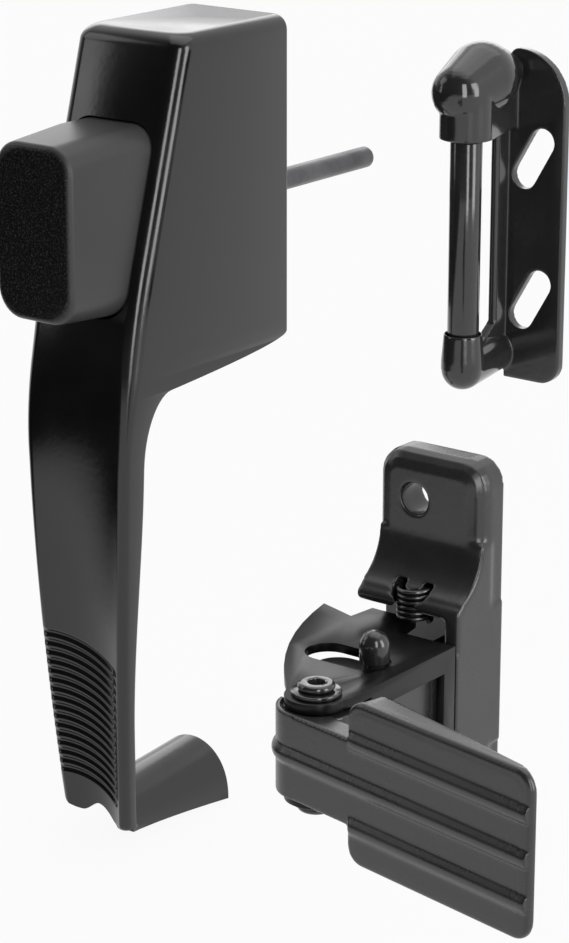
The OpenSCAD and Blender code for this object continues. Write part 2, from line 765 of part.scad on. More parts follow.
module strike_bracket() color(paint) at_strike() difference() {
  union() {
    leaf();
    top_bulb();
    translate([roller_x, -roller_out, collar_z]) cylinder(r = collar_r, h = bulb_z - collar_z);
    low_bulb();
    translate([roller_x, -roller_out, cup_z]) cylinder(r = cup_r, h = cup_top - cup_z);
  }
  translate([roller_x, -roller_out, cup_top - cup_depth]) cylinder(r = roller_r + play, h = cup_depth + 1);
  translate([roller_x, -roller_out, cup_z]) cylinder(r = axle_r, h = bulb_z - cup_z);
}
module strike_roller() color(steel) at_roller() difference() {
  translate([0, 0, roller_low]) cylinder(r = roller_r, h = roller_top - roller_low);
  translate([0, 0, roller_low - 1]) cylinder(r = roller_r - roller_wall, h = roller_top - roller_low + 2);
}
module roller_axle() color(bright) at_roller() translate([0, 0, cup_z]) cylinder(r = axle_r, h = bulb_z - cup_z);

handle_casting();
push_button();
push_rod();
button_spring();
guide_plate();
rod_clip();
latch_base();
latch_bolt();
lever();
pivot_rivet();
pivot_washers();
lock_pin();
lock_slide();
bolt_spring();
strike_bracket();
strike_roller();
roller_axle();
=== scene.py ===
import bpy
import bmesh
import json
import math
from mathutils import Vector, Matrix


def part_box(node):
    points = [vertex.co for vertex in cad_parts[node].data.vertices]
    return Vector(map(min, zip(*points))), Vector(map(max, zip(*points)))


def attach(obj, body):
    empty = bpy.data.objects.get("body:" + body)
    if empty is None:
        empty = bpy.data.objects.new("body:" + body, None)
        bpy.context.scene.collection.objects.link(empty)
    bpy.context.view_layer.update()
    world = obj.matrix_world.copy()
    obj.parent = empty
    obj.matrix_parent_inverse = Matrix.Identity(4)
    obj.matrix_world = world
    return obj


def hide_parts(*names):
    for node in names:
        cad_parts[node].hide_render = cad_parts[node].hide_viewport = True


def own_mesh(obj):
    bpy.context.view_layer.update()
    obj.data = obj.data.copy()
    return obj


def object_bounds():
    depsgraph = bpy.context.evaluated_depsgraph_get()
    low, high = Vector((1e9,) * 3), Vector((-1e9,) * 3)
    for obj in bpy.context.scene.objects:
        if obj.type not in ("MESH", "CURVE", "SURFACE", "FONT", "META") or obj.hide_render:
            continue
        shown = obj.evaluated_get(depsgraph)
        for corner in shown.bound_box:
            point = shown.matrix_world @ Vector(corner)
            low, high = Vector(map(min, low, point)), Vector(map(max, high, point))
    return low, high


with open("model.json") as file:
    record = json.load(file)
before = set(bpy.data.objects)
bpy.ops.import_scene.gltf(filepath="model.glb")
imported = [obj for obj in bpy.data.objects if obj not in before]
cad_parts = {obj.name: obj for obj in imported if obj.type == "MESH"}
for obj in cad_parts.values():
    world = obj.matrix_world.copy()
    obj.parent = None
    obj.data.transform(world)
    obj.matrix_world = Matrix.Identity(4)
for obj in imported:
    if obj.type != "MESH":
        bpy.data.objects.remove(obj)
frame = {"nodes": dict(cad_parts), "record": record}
cad_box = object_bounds()
scene = bpy.context.scene
scene.view_settings.view_transform = "Standard"
MM = 0.001
WELD_GAP = 0.002
FLAT_ANGLE = 0.01
SHEET_CREASE, CAST_CREASE, NO_CREASE = 40, 38, 180


# Mesh tools. Pieces are made in millimetres and scaled to metres when they are dressed.

def new_object(name, mesh):
    obj = bpy.data.objects.new(name, mesh)
    scene.collection.objects.link(obj)
    return obj


def from_faces(name, verts, faces):
    mesh = bpy.data.meshes.new(name)
    mesh.from_pydata([tuple(v) for v in verts], [], faces)
    bm = bmesh.new()
    bm.from_mesh(mesh)
    bmesh.ops.recalc_face_normals(bm, faces=bm.faces)
    bm.to_mesh(mesh)
    bm.free()
    return new_object(name, mesh)


def loft(name, rings):
    """A closed skin through rings that have the same number of points."""
    n = len(rings[0])
    last = (len(rings) - 1) * n
    faces = [(i * n + j, i * n + (j + 1) % n, (i + 1) * n + (j + 1) % n, (i + 1) * n + j)
             for i in range(len(rings) - 1) for j in range(n)]
    faces += [tuple(range(n)), tuple(range(last, last + n))]
    return from_faces(name, [p for r in rings for p in r], faces)


def lathe(name, profile, axis, origin, steps=64):
    """A closed profile of (radius, along) turned about a line through origin."""
    turn = Vector((0, 0, 1)).rotation_difference(Vector(axis)).to_matrix()
    rings = [[Vector(origin) + turn @ Vector((r * math.cos(a), r * math.sin(a), h)) for r, h in profile]
             for a in (2 * math.pi * k / steps for k in range(steps))]
    n = len(profile)
    faces = [(i * n + j, i * n + (j + 1) % n, (i + 1) % steps * n + (j + 1) % n, (i + 1) % steps * n + j)
             for i in range(steps) for j in range(n)]
    return from_faces(name, [p for r in rings for p in r], faces)


def rod(name, radius, start, end, steps=48):
    start, end = Vector(start), Vector(end)
    turn = Vector((0, 0, 1)).rotation_difference(end - start).to_matrix()
    circle = [turn @ Vector((radius * math.cos(a), radius * math.sin(a), 0))
              for a in (2 * math.pi * k / steps for k in range(steps))]
    return loft(name, [[start + c for c in circle], [end + c for c in circle]])


def settle(obj):
    """Applies an object's modifiers to its mesh."""
    graph = bpy.context.evaluated_depsgraph_get()
    mesh = bpy.data.meshes.new_from_object(obj.evaluated_get(graph))
    obj.modifiers.clear()
    obj.data = mesh
    return obj


def combine(obj, operation, *tools):
    for tool in tools:
        mod = obj.modifiers.new(operation, "BOOLEAN")
        mod.operation = operation
        mod.solver = "EXACT"
        mod.object = tool
        settle(obj)
        bpy.data.objects.remove(tool)
    return obj


def node_copy(node):
    """A new mesh with a CAD node's shape, welded, in millimetres."""
    mesh = frame["nodes"][node].data.copy()
    mesh.transform(Matrix.Scale(1 / MM, 4))
    bm = bmesh.new()
    bm.from_mesh(mesh)
    bmesh.ops.remove_doubles(bm, verts=bm.verts, dist=WELD_GAP)
    bmesh.ops.dissolve_limit(bm, angle_limit=FLAT_ANGLE, verts=bm.verts, edges=bm.edges)
    bm.to_mesh(mesh)
    bm.free()
    return new_object(node + "_finish", mesh)


def broken_edges(obj, edge, angle):
    """Rounds the edges where two faces meet at more than the angle."""
    bevel = obj.modifiers.new("bevel", "BEVEL")
    bevel.width = edge
    bevel.segments = 2
    bevel.limit_method = "ANGLE"
    bevel.angle_limit = math.radians(angle)
    return settle(obj)


def pressed(node, edge):
    """A node with its sharp edges broken, as on tumbled sheet steel."""
    return broken_edges(node_copy(node), edge, SHEET_CREASE)


def shade(obj, angle):
    """Smooth shading, with a crease where two faces meet at more than the angle."""
    bm = bmesh.new()
    bm.from_mesh(obj.data)
    for face in bm.faces:
        face.smooth = True
    for edge in bm.edges:
        edge.smooth = len(edge.link_faces) == 2 and edge.calc_face_angle(0.0) < math.radians(angle)
    bm.to_mesh(obj.data)
    bm.free()


BODY_OF = {node: body for body, nodes in frame["record"]["behaviour"]["bodies"].items() for node in nodes}


def dress(obj, node, material, crease=35):
    """Turns a piece in millimetres into the finished stand-in for a CAD node."""
    obj.data.transform(Matrix.Scale(MM, 4))
    shade(obj, crease)
    obj.name = node + "_finish"
    obj.data.materials.clear()
    obj.data.materials.append(material)
    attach(obj, BODY_OF[node])
    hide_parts(node)
    return obj


# Sizes of the handle, in millimetres, as in the CAD source

def node_box(node):
    low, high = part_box(node)
    return Vector(low) / MM, Vector(high) / MM


HANDLE_HIGH = node_box("handle_casting")[1]
HALF_W = HANDLE_HIGH.x
HOUSING_UP = HANDLE_HIGH.z
HOUSING_DOWN = 26.2
HOUSING_RINGS_FROM = 22
HOUSING_WALL, FRONT_WALL = 2.0, 2.4
DEPTH_TOP = 27.5
LEAN = math.tan(math.radians(16.2))
BEND_Z = -8.0
BOW = 34.0
APEX_Z = BEND_Z - BOW
UNDER_DROP, UNDER_RUN = 3.6, 30.5
STRAP_TOP, STRAP_END = -42.0, -107.0
STRAP_T, STRAP_RETURN = 3.2, 3.3
STRAP_GAIN, GAIN_LIFT, GAIN_RUN = 2.2, 48, 46
STRAP_INSET, INSET_Z, INSET_RUN = 0.6, -26, 18
STRAP_TAPER, TAPER_Z, TAPER_POWER = 3.8, -40.0, 1.3
STRAP_DISH, DISH_Z, DISH_RUN, DISH_END = 1.7, -20, 45, 0.6
CROWN = 0.4
FRONT_EDGE, FRONT_EDGE_LOSS, FRONT_EDGE_RUN = 3.1, 1.6, 20
BACK_EDGE, TOP_EDGE, END_EDGE = 0.7, 2.4, 1.2
CAST_EDGE, CAST_EDGE_ANGLE = 0.35, 55
RIB_START, RIB_COUNT, RIB_PITCH, RIB_DEPTH, RIB_SAG = -72.2, 16, 1.65, 0.42, 4.8
RIB_FADE, RIB_FADE_RUN, RIB_RUN_OUT = 0.78, 0.16, 5
LEG_ARCH, LEG_LIFT, LEG_MARGIN = 2.2, 2.2, 0.05
LEFT_LEG, LEFT_CORNER = 3.6, 2.4
RIGHT_LEG, RIGHT_CORNER = 5.2, 0.5
FOOT_GAP, FOOT_H, FOOT_WALL = 12.8, 6.0, 1.8
FOOT_FLARE, FOOT_RISE, FOOT_FALL, FOOT_STEP = 1.0, 1.6, 2.3, -0.3
FOOT_HALF = HALF_W - STRAP_INSET - STRAP_TAPER - 0.1
FOOT_SINK, FOOT_CURVE, FOOT_ARCH = 0.6, 1.4, 0.86
FOOT_CUT_RIGHT, FOOT_CUT_DEPTH = -3.0, 9.0
SCREW_HALF = 44.45 / 2
BOSS_R, BORE_R = 3.45, 1.75
BOSS_BACK, BOSS_FRONT, BORE_FRONT = -0.4, -20, -19
BUTTON_LOW, BUTTON_HIGH = node_box("push_button")
BUTTON_W = BUTTON_HIGH.x - BUTTON_LOW.x
BUTTON_H = BUTTON_HIGH.z - BUTTON_LOW.z
BUTTON_FACE = -BUTTON_LOW.y
BUTTON_CORNER, BUTTON_EDGE, BUTTON_TAPER, BUTTON_FLAT = 4.4, 1.1, 0.7, 0.8
BUTTON_CORNER_GAIN = 0.4
BUTTON_FLANK, BUTTON_SKIRT, BUTTON_SEAT, BUTTON_WALL = 38.0, 24.0, 34.0, 1.8
BUTTON_BOSS_R, BUTTON_BORE_R, BUTTON_BORE_END = 3.5, 1.9, 42
BUTTON_DROP = 1.7
BUTTON_GAP = 0.35
BUTTON_HOLE_BACK = -20
ROD_DROP = -sum(node_box("push_rod")[i].z for i in (0, 1)) / 2
FAR_FRONT = -60


# Curves of the handle

def ease(t):
    t = min(max(t, 0.0), 1.0)
    return t * t * (3 - 2 * t)


def arc(cx, cy, r, start, end, steps):
    angles = (math.radians(start + (end - start) * k / steps) for k in range(steps + 1))
    return [(cx + r * math.cos(a), cy + r * math.sin(a)) for a in angles]


def span(a, b, steps):
    return [a + (b - a) * k / steps for k in range(steps + 1)]


def soft_rect(w, h, r, steps=8):
    """A rectangle with rounded corners, centred on the origin."""
    x, y = w / 2 - r, h / 2 - r
    return (arc(x, y, r, 0, 90, steps) + arc(-x, y, r, 90, 180, steps)
            + arc(-x, -y, r, 180, 270, steps) + arc(x, -y, r, 270, 360, steps))


def front_y(z):
    """The front's middle line: straight down the housing, bowed below it, returning to the strap's end."""
    bend = -(DEPTH_TOP + (HOUSING_UP - BEND_Z) * LEAN)
    if z >= BEND_Z:
        return -(DEPTH_TOP + (HOUSING_UP - z) * LEAN)
    if z >= APEX_Z:
        t = BEND_Z - z
        return bend - LEAN * t + LEAN / (2 * BOW) * t * t
    return bend - LEAN * BOW / 2 + STRAP_RETURN * ((APEX_Z - z) / (APEX_Z - STRAP_END)) ** 2


def half_w(z):
    t = max(TAPER_Z - z, 0.0) / (TAPER_Z - STRAP_END)
    return HALF_W - STRAP_INSET * ease((INSET_Z - z) / INSET_RUN) - STRAP_TAPER * t ** TAPER_POWER


def back_y(z):
    return front_y(z) + STRAP_T + STRAP_GAIN * ease((z - TAPER_Z + GAIN_LIFT) / GAIN_RUN)


def rib_groove(f, z):
    """Depth of the grooves between the ribs: they bow down to the right, where they end near the rim."""
    run = (RIB_START - RIB_SAG * (0.5 + 0.5 * f) ** 1.5 - z) / RIB_PITCH
    if run <= 0 or run >= RIB_COUNT:
        return 0.0
    fade = 1 - ease((f - RIB_FADE) / RIB_FADE_RUN)
    return RIB_DEPTH * 0.5 * (1 - math.cos(2 * math.pi * run)) * fade


def left_edge(hw, yf, r, z, steps=12):
    """The strap's rounded left edge, with the grooves running off over it."""
    points = []
    for k, (x, y) in enumerate(arc(-hw + r, yf + r, r, 180, 270, steps)):
        turn = math.radians(90 * k / steps)
        depth = rib_groove(-1, z) * math.sin(turn) ** RIB_RUN_OUT
        points.append((x + depth * math.cos(turn), y + depth * math.sin(turn)))
    return points


# The handle casting

def handle_ring(z, yb, inset=0.0, side_inset=0.0):
    """A level section of the handle, from its left edge over the front to a back at yb."""
    hw = half_w(z) - side_inset
    yf = front_y(z) + inset
    rf = FRONT_EDGE - FRONT_EDGE_LOSS * ease((DISH_Z - z) / FRONT_EDGE_RUN)
    rb = BACK_EDGE
    dish = ease((DISH_Z - z) / DISH_RUN) * min(1.0, (z - STRAP_END) / DISH_END - 0.1)
    crown = CROWN - (STRAP_DISH + CROWN) * dish
    front = [((hw - rf) * f, yf - crown * (1 - f * f) + rib_groove(f, z)) for f in span(-0.97, 0.97, 56)]
    points = left_edge(hw, yf, rf, z) + front + arc(hw - rf, yf + rf, rf, 270, 360, 8)
    points += arc(hw - rb, yb - rb, rb, 0, 90, 4) + arc(-hw + rb, yb - rb, rb, 90, 180, 4)
    return [(x, y, z) for x, y in points]


def top_rings():
    """The rounded top edge, and the housing down to its underside."""
    rings = []
    for a in span(90, 0, 10):
        inset = TOP_EDGE * (1 - math.cos(math.radians(a)))
        z = HOUSING_UP - TOP_EDGE + TOP_EDGE * math.sin(math.radians(a))
        rings.append(handle_ring(z, 0, inset, inset))
    return rings + [handle_ring(z, 0) for z in span(HOUSING_RINGS_FROM, -HOUSING_DOWN, 24)]


def under_rings():
    """The housing's underside, and the curve from it into the back of the strap."""
    shares = (0.01, 0.03, 0.06, 0.1, 0.16, 0.22, 0.35, 0.5, 0.65, 0.8, 0.92, 1.0)
    rings = [handle_ring(-HOUSING_DOWN - UNDER_DROP * math.sqrt(f), -UNDER_RUN * f) for f in shares]
    y0, z0 = -UNDER_RUN, -HOUSING_DOWN - UNDER_DROP
    dy, dz = back_y(STRAP_TOP) - y0, STRAP_TOP - z0
    for b in map(math.radians, span(8, 90, 12)):
        rings.append(handle_ring(z0 + dz * (1 - math.cos(b)), y0 + dy * math.sin(b)))
    return rings


def strap_rings():
    """The strap, with 12 rings to a rib, and its rounded lower end."""
    rib_end = RIB_START - RIB_COUNT * RIB_PITCH - RIB_SAG
    levels = span(STRAP_TOP - 1.5, RIB_START + 0.3, 18) + span(RIB_START, rib_end, RIB_COUNT * 12)
    levels += span(rib_end - 0.4, STRAP_END + 1.6, 4)
    rings = [handle_ring(z, back_y(z)) for z in levels]
    for a in map(math.radians, span(0, 70, 7)):
        z = STRAP_END + END_EDGE - END_EDGE * math.sin(a)
        rings.append(handle_ring(z, back_y(z), END_EDGE * (1 - math.cos(a))))
    return rings


def foot_arch(f, wall, angles):
    """The foot's arch at a share f of its flare, inset by a wall."""
    half = FOOT_HALF + FOOT_FLARE * f - wall
    ridge = STRAP_END + FOOT_H + FOOT_RISE * f - wall
    floor_z = STRAP_END + FOOT_STEP - (FOOT_FALL + FOOT_STEP) * f
    return [(half * math.cos(a), floor_z + (ridge - floor_z) * abs(math.sin(a)) ** FOOT_ARCH)
            for a in map(math.radians, angles)]


def foot():
    """Arched foot that widens to its end, open below and behind."""
    start = back_y(STRAP_END + FOOT_H) - FOOT_SINK
    rings = []
    for t in span(0, 1, 14):
        y = start + (-FOOT_GAP - start) * t
        flare = t ** FOOT_CURVE
        outline = foot_arch(flare, 0, span(0, 180, 40)) + foot_arch(flare, FOOT_WALL, span(180, 0, 40))
        rings.append([(x, y, z) for x, z in outline])
    return loft("foot", rings)


def leg_height(x, edge):
    """The lower end of the strap: two legs with an arch between them, the left one shorter and rounder."""
    leg, corner = (LEFT_LEG, LEFT_CORNER) if x < 0 else (RIGHT_LEG, RIGHT_CORNER)
    out = abs(x) - leg
    if out > 0:
        rise = corner * (1 - math.sqrt(max(1 - (out / (edge - leg)) ** 2, 0.0)))
    else:
        rise = LEG_ARCH * (0.5 + 0.5 * math.cos(math.pi * x / leg))
    return STRAP_END + 0.02 + rise + LEG_LIFT * (0.5 - 0.5 * x / edge)


def leg_cut(right, depth):
    """What is cut off below the strap and, where a depth is given, tapering out along the foot."""
    edge = half_w(STRAP_END) + LEG_MARGIN
    curve = [(x, leg_height(x, edge)) for x in span(-edge, min(right, edge), 64)]
    low, end = STRAP_END - 4, right + 0.01
    outline = [(-HALF_W, low), (-HALF_W, curve[0][1])] + curve + [(end, curve[-1][1]), (end, low)]
    back = back_y(STRAP_END) + 0.5
    rings = [[(x, y, z) for x, z in outline] for y in (FAR_FRONT, back)]
    if depth:
        rings.append([(x, back + depth, min(z, STRAP_END - 0.6)) for x, z in outline])
    return loft("legs", rings)


def housing_cavity():
    half = HALF_W - HOUSING_WALL
    top, low = HOUSING_UP - HOUSING_WALL, -HOUSING_DOWN + HOUSING_WALL
    side = [(1, low), (1, top)] + [(front_y(z) + FRONT_WALL, z) for z in (top, BEND_Z, low)]
    return loft("cavity", [[(x, y, z) for y, z in side] for x in (-half, half)])


def button_hole():
    outline = soft_rect(BUTTON_W + 2 * BUTTON_GAP, BUTTON_H + 2 * BUTTON_GAP, BUTTON_CORNER + BUTTON_GAP)
    return loft("hole", [[(x, y, z - BUTTON_DROP) for x, z in outline]
                         for y in (FAR_FRONT, BUTTON_HOLE_BACK)])


def handle_casting():
    body = loft("handle", top_rings() + under_rings() + strap_rings())
    cavity, hole = housing_cavity(), button_hole()
    combine(body, "DIFFERENCE", leg_cut(HALF_W, 0))
    combine(body, "UNION", foot())
    combine(body, "DIFFERENCE", leg_cut(FOOT_CUT_RIGHT, FOOT_CUT_DEPTH))
    broken_edges(body, CAST_EDGE, CAST_EDGE_ANGLE)
    combine(body, "DIFFERENCE", cavity, hole)
    for z in (-SCREW_HALF, SCREW_HALF):
        combine(body, "UNION", rod("boss", BOSS_R, (0, BOSS_BACK, z), (0, BOSS_FRONT, z)))
        combine(body, "DIFFERENCE", rod("bore", BORE_R, (0, 1, z), (0, BORE_FRONT, z)))
    return body


# The button and its rod

def button_ring(out, inset):
    corner = BUTTON_CORNER + BUTTON_CORNER_GAIN * inset
    outline = soft_rect(BUTTON_W - 2 * inset, BUTTON_H - 2 * inset, corner, 10)
    return [(x, -out, z - BUTTON_DROP) for x, z in outline]


def push_button():
    """Tapered button with a rounded face, hollow behind, and a bored boss for the rod."""
    rings = [button_ring(BUTTON_FACE, BUTTON_TAPER + BUTTON_EDGE + BUTTON_FLAT)]
    for a in map(math.radians, span(90, 0, 12)):
        rings.append(button_ring(BUTTON_FACE - BUTTON_EDGE * (1 - math.sin(a)),
                                 BUTTON_TAPER + BUTTON_EDGE * (1 - math.cos(a))))
    rings += [button_ring(BUTTON_FLANK, 0), button_ring(BUTTON_SKIRT, 0)]
    body = loft("button", rings)
    inner = soft_rect(BUTTON_W - 2 * BUTTON_WALL, BUTTON_H - 2 * BUTTON_WALL, BUTTON_CORNER - BUTTON_WALL)
    hollow = loft("hollow", [[(x, y, z - BUTTON_DROP) for x, z in inner]
                             for y in (-BUTTON_SEAT, -BUTTON_SKIRT + 1)])

    def on_rod(y):
        return 0, y, -ROD_DROP

    combine(body, "DIFFERENCE", hollow)
    combine(body, "UNION", rod("boss", BUTTON_BOSS_R, on_rod(-BUTTON_SKIRT), on_rod(-BUTTON_SEAT - 1)))
    bore = rod("bore", BUTTON_BORE_R, on_rod(-BUTTON_SKIRT + 1), on_rod(-BUTTON_BORE_END))
    combine(body, "DIFFERENCE", bore)
    return body


ROD_NOSE = 0.8


def push_rod():
    low, high = node_box("push_rod")
    r = (high.x - low.x) / 2
    length = high.y - low.y
    nose = [(r - ROD_NOSE + ROD_NOSE * math.sin(a), length - ROD_NOSE + ROD_NOSE * math.cos(a))
            for a in span(math.pi / 2, 0, 6)]
    profile = [(0.001, 0), (r, 0)] + nose + [(0.001, length)]
    return lathe("rod", profile, (0, 1, 0), (0, low.y, (low.z + high.z) / 2), 72)


# Tools for the rounded castings and stampings

def hull(name, points):
    """The convex skin of a cloud of points."""
    bm = bmesh.new()
    for p in points:
        bm.verts.new(p)
    bmesh.ops.convex_hull(bm, input=bm.verts)
    bmesh.ops.delete(bm, geom=[v for v in bm.verts if not v.link_faces], context="VERTS")
    mesh = bpy.data.meshes.new(name)
    bm.to_mesh(mesh)
    bm.free()
    return new_object(name, mesh)


def ball(centre, r, steps=40):
    return [Vector(centre) + r * Vector((math.sin(b) * math.cos(a), math.sin(b) * math.sin(a), math.cos(b)))
            for a in (2 * math.pi * k / steps for k in range(steps)) for b in span(0, math.pi, steps // 2)]


def disc(centre, r, axis, steps=64):
    turn = Vector((0, 0, 1)).rotation_difference(Vector(axis)).to_matrix()
    return [Vector(centre) + turn @ Vector((r * math.cos(a), r * math.sin(a), 0))
            for a in (2 * math.pi * k / steps for k in range(steps))]


def smoothing(obj, name, passes):
    smooth = obj.modifiers.new(name, "SMOOTH")
    smooth.factor = 0.5
    smooth.iterations = passes
    return smooth


def soften(obj, voxel, passes, keep=0.5, rim=None, rim_passes=0):
    """Melts edges and inner corners a little, as in a casting, and more where rim(point) is true."""
    remesh = obj.modifiers.new("remesh", "REMESH")
    remesh.mode = "VOXEL"
    remesh.voxel_size = voxel
    settle(obj)
    smoothing(obj, "soft", passes)
    if rim:
        group = obj.vertex_groups.new(name="rim")
        group.add([v.index for v in obj.data.vertices if rim(v.co)], 1.0, "REPLACE")
        smoothing(obj, "rounder", rim_passes).vertex_group = "rim"
    thin = obj.modifiers.new("thin", "DECIMATE")
    thin.ratio = keep
    settle(obj)
    obj.vertex_groups.clear()
    return obj


# The inside latch

LATCH = Vector((106.2, -92.7, -34.8))
SCOOP_RIM, SCOOP_LOW, SCOOP_HIGH = 7.0, 5.0, 24.0
SCOOP_FRONT, SCOOP_BACK = -8.4, -1.6
JOINTS = {joint["name"]: joint for joint in frame["record"]["behaviour"]["joints"]}
LEVER_PIVOT = Vector(JOINTS["lever_swing"]["pos_m"]) / MM
LEVER_ANGLE = math.radians(-11.0)
LEVER_PLACE = Matrix.Translation(LEVER_PIVOT) @ Matrix.Rotation(LEVER_ANGLE, 4, "Z")
PAD_START, PAD_L, PAD_H, PAD_RISE, PAD_FRONT, PAD_CORNER = 10.6, 29.8, 20.6, 0.2, -4.88, 2.4
PAD_EDGE = ((0.55, 0.0), (0.25, 0.08), (0.08, 0.25), (0.0, 0.55), (0.0, 0.9))
PAD_RIM = 1.5
BEAD_R, BEAD_H, BEAD_PITCH = 1.5, 0.5, 5.4
BEAD_START, BEAD_END = 1, 0.3
TIP_T = 1.0
WEDGE_START, WEDGE_T, WEDGE_BACK, WEDGE_HALF = 3, 4.0, 8, 15


def on_scoop_rim(point):
    """The edges round the scooped shelves, above and below the bolt."""
    x, y, z = point - LATCH
    return SCOOP_LOW < abs(z) < SCOOP_HIGH and (x > SCOOP_RIM or y < SCOOP_FRONT) and y < SCOOP_BACK


def latch_base():
    return soften(node_copy("latch_base"), 0.18, 5, rim=on_scoop_rim, rim_passes=40)


def on_lever(x, y, z):
    return LEVER_PLACE @ Vector((x, y, z))


def pad_face():
    """A thin plate with a small rounded edge, which keeps the pad's outline crisp."""
    rings = []
    for inset, depth in PAD_EDGE:
        outline = soft_rect(PAD_L - 2 * inset, PAD_H - 2 * inset, PAD_CORNER - inset, 10)
        rings.append([on_lever(PAD_START + PAD_L / 2 + x, PAD_FRONT + depth, PAD_RISE + z)
                      for x, z in outline])
    return loft("pad_face", rings)


def pad_bead(z):
    y = PAD_FRONT + BEAD_R - BEAD_H
    return rod("bead", BEAD_R, on_lever(PAD_START + BEAD_START, y, z),
               on_lever(PAD_START + PAD_L - BEAD_END, y, z))


def behind_pad():
    """What is cut off behind the pad, so that it thins to its tip."""
    start, end, back = PAD_START + WEDGE_START, PAD_START + PAD_L + 1, PAD_FRONT + WEDGE_BACK
    side = [(start, PAD_FRONT + WEDGE_T), (end, PAD_FRONT + TIP_T), (end, back), (start, back)]
    return loft("behind", [[on_lever(x, y, z) for x, y in side] for z in (-WEDGE_HALF, WEDGE_HALF)])


def on_beads(point):
    """The pad's front within its rim, where the beads are rounded off further."""
    x, y, z = LEVER_PLACE.inverted() @ point
    return 1 < x < PAD_START + PAD_L - PAD_RIM and y < PAD_FRONT + BEAD_H and abs(z) < PAD_H / 2 - PAD_RIM


def lever():
    """The CAD lever with a crisp sheet edge on its pad and beads that run out over the edge."""
    body = combine(node_copy("lever"), "UNION", pad_face())
    for z in (-BEAD_PITCH, 0, BEAD_PITCH):
        combine(body, "UNION", pad_bead(z))
    combine(body, "DIFFERENCE", behind_pad())
    return soften(body, 0.14, 7, rim=on_beads, rim_passes=22)


# The strike

STRIKE_X, STRIKE_Z = 61.4, -1.6
LEAF_W, LEAF_T, LEAF_TOP, LEAF_LOW = 10.4, 1.6, 28.6, -24.8
LEAF_HALF = LEAF_W / 2
LEAF_TOP_R, LEAF_LEFT_R, LEAF_LOW_R = 8.6, 1.6, 3.6
SLOT_L, SLOT_R, SLOT_HALF, SLOT_TILT, SLOT_SHIFT = 10.8, 2.2, 11.4, math.radians(60), -0.5
ROLLER_X, ROLLER_OUT = -4.6, 14.2
BULB_Z, CUP_Z, COLLAR_Z, CUP_TOP = LEAF_TOP - 5.2, LEAF_LOW + 4.2, 16.2, -14.9
NOSE_R, NOSE_OUT = 4.6, 15.0
BROW_R, BROW_OUT, BROW_DOWN = 5.75, 9.4, 3.75
NAPE_R, NAPE_OUT, NAPE_DOWN, NAPE_IN = 3.4, 4.6, 3.4, 0.3
ROOT_R, ROOT_LEFT = 5.2, 3.55
COLLAR_R, NECK_R, NECK_X, NECK_OUT = 4.25, 3.2, -6.4, 3.2
ARM_R, ARM_ROOT_R, ARM_ROOT_LEFT = 3.35, 3.3, 1.65
CUP_R, CUP_LIP_R, CUP_BORE_R, CUP_AXLE_R = 3.4, 3.05, 2.86, 0.5
CUP_DEPTH, CUP_LIP_DROP, SEAT_RISE = 2.4, 4.4, 4
FLANGE_X, FLANGE_R, FLANGE_OUT = -LEAF_HALF - 0.55, 0.75, 4.05
FLANGE_LEFT, FLANGE_RIGHT = -LEAF_HALF - 1.3, -LEAF_HALF + 0.2
FLANGE_ROOTS = (-1.0, -0.5)
FILLET_SIDE = ((-4.0, -14.8), (-4.8, -15.6), (-7.6, -17.6), (-7.6, -19.0), (-4.0, -19.0))
UP, INWARD = (0, 0, 1), (0, 1, 0)


def on_strike(x, y, z):
    return Vector((STRIKE_X + x, y, STRIKE_Z + z))


def strike_leaf():
    outline = (arc(LEAF_HALF - LEAF_TOP_R, LEAF_TOP - LEAF_TOP_R, LEAF_TOP_R, 0, 90, 20)
               + arc(-LEAF_HALF + LEAF_LEFT_R, LEAF_TOP - LEAF_LEFT_R, LEAF_LEFT_R, 90, 180, 8)
               + [(-LEAF_HALF, LEAF_LOW)]
               + arc(LEAF_HALF - LEAF_LOW_R, LEAF_LOW + LEAF_LOW_R, LEAF_LOW_R, 270, 360, 12))
    return loft("leaf", [[on_strike(x, y, z) for x, z in outline] for y in (-LEAF_T, 0)])


def strike_slot(middle_z):
    run = SLOT_L / 2 - SLOT_R
    ends = arc(run, 0, SLOT_R, -90, 90, 16) + arc(-run, 0, SLOT_R, 90, 270, 16)
    across, along = math.cos(SLOT_TILT), math.sin(SLOT_TILT)
    turned = [(x * across - z * along, x * along + z * across) for x, z in ends]
    return loft("slot", [[on_strike(x + SLOT_SHIFT, y, z + middle_z) for x, z in turned] for y in (-4, 2)])


def strike_flange():
    """The leaf's folded left edge, with a round front."""
    ends = (CUP_Z, BULB_Z)
    points = [on_strike(FLANGE_X, y, z) for y in FLANGE_ROOTS for z in ends]
    for z in ends:
        points += disc(on_strike(FLANGE_X, -FLANGE_OUT, z), FLANGE_R, UP)
    points += [on_strike(FLANGE_RIGHT, FLANGE_ROOTS[0], z) for z in ends]
    points += [on_strike(FLANGE_LEFT, FLANGE_ROOTS[1], z) for z in ends]
    return hull("flange", points)


def strike_helmet():
    """The drawn bulb over the roller's top: nose, brow and nape, on a round root."""
    return hull("helmet", ball(on_strike(-LEAF_HALF, -NOSE_OUT, BULB_Z), NOSE_R)
                + ball(on_strike(-LEAF_HALF, -BROW_OUT, LEAF_TOP - BROW_DOWN), BROW_R)
                + disc(on_strike(-LEAF_HALF - ROOT_LEFT, -LEAF_T, BULB_Z), ROOT_R, INWARD)
                + ball(on_strike(-LEAF_HALF + NAPE_IN, -NAPE_OUT, LEAF_TOP - NAPE_DOWN), NAPE_R))


def strike_skirt():
    """The collar that comes down from the helmet round the roller's end."""
    points = []
    for z in (COLLAR_Z, BULB_Z):
        points += disc(on_strike(ROLLER_X, -ROLLER_OUT, z), COLLAR_R, UP)
        points += disc(on_strike(NECK_X, -NECK_OUT, z), NECK_R, UP)
    return hull("skirt", points)


